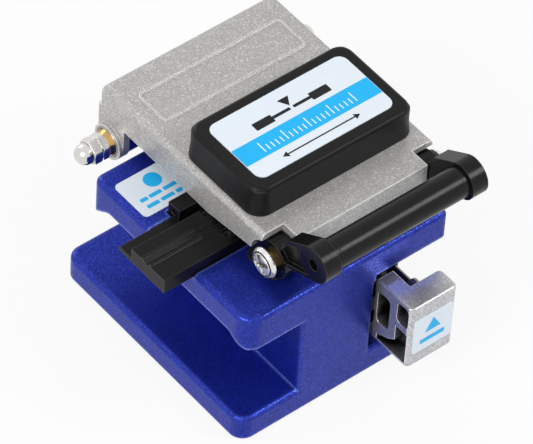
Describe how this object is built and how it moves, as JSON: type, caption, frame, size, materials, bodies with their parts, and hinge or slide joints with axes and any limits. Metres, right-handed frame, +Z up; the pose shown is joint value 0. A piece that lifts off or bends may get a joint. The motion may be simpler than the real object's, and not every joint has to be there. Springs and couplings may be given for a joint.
{
  "type": "fibre cleaver",
  "caption": "Desktop optical fibre cleaver with a cast base, hinged clamping lid, front lever, fibre guide and a sliding round blade",
  "frame": {"origin": "on the surface it stands on, under the middle of the base plate", "axes": "+Z up; -Y is the user's side with the slider and lever; +X is the user's right, along the fibre and the hinge"},
  "size_m": [0.0756, 0.0768, 0.0583],
  "materials": {
    "blue_paint": "metallic blue powder coat",
    "cast_lid": "fine grained die casting",
    "cast_slider": "satin zinc casting",
    "black_plastic": "satin black moulding",
    "lever_plastic": "semi-gloss black moulding",
    "black_steel": "blackened steel",
    "steel": "ground steel",
    "nickel": "nickel plated",
    "brass": "turned brass",
    "rubber": "black rubber",
    "label_white": "printed film"
  },
  "bodies": {
    "base": {"base_frame": "blue_paint", "rubber_pad": "rubber", "guide_plate": "black_steel", "guide_block": "black_steel", "guide_screws": "black_steel", "clamp_seats": "steel", "lower_clamp_pad_left": "rubber", "lower_clamp_pad_right": "rubber", "deck_label": "label_white", "hinge_axle": "steel", "hinge_cap_nuts": "nickel", "hinge_jam_nuts": "nickel", "hinge_washers": "brass", "deck_bumpers": "rubber", "slider_rail": "steel", "rail_screws": "black_steel", "rail_stops": "steel", "base_magnet": "nickel"},
    "slider": {"slider_block": "cast_slider", "slider_carriage": "black_steel", "slider_rod": "black_steel", "push_label": "label_white", "blade_axle": "steel", "blade_nut": "steel"},
    "blade": {"blade_wheel": "steel"},
    "lid": {"lid_casting": "cast_lid", "lid_cover": "black_plastic", "cover_label": "label_white", "cover_screws": "steel", "clamp_carrier": "black_plastic", "upper_clamp_pad_left": "rubber", "upper_clamp_pad_right": "rubber", "lid_catch_plate": "steel", "pivot_bushings": "brass", "pivot_screws": "nickel", "anvil_spring": "steel"},
    "anvil": {"anvil_block": "steel", "anvil_tip": "rubber"},
    "handle": {"handle_arm_left": "lever_plastic", "handle_arm_right": "lever_plastic", "handle_bar": "lever_plastic", "handle_bar_screws": "black_steel"}
  },
  "joints": [
    {"name": "lid_hinge", "type": "hinge", "parent": "base", "child": "lid", "pos_m": [0.0072, 0.0305, 0.0358], "axis": [-1, 0, 0], "range_deg": [0, 80]},
    {"name": "handle_pivot", "type": "hinge", "parent": "lid", "child": "handle", "pos_m": [0.0072, -0.02265, 0.044], "axis": [-1, 0, 0], "range_deg": [-50, 38]},
    {"name": "slider_slide", "type": "slide", "parent": "base", "child": "slider", "axis": [0, 1, 0], "range_m": [0, 0.012]},
    {"name": "blade_spin", "type": "hinge", "parent": "slider", "child": "blade", "pos_m": [0.0155, -0.01215, 0.0331], "axis": [1, 0, 0], "continuous": true},
    {"name": "anvil_lift", "type": "slide", "parent": "lid", "child": "anvil", "axis": [0, 0, 1], "range_m": [0, 0.0012], "stiffness_N_per_m": 300, "springref_m": -0.001, "deforming": ["anvil_spring"]}
  ]
}
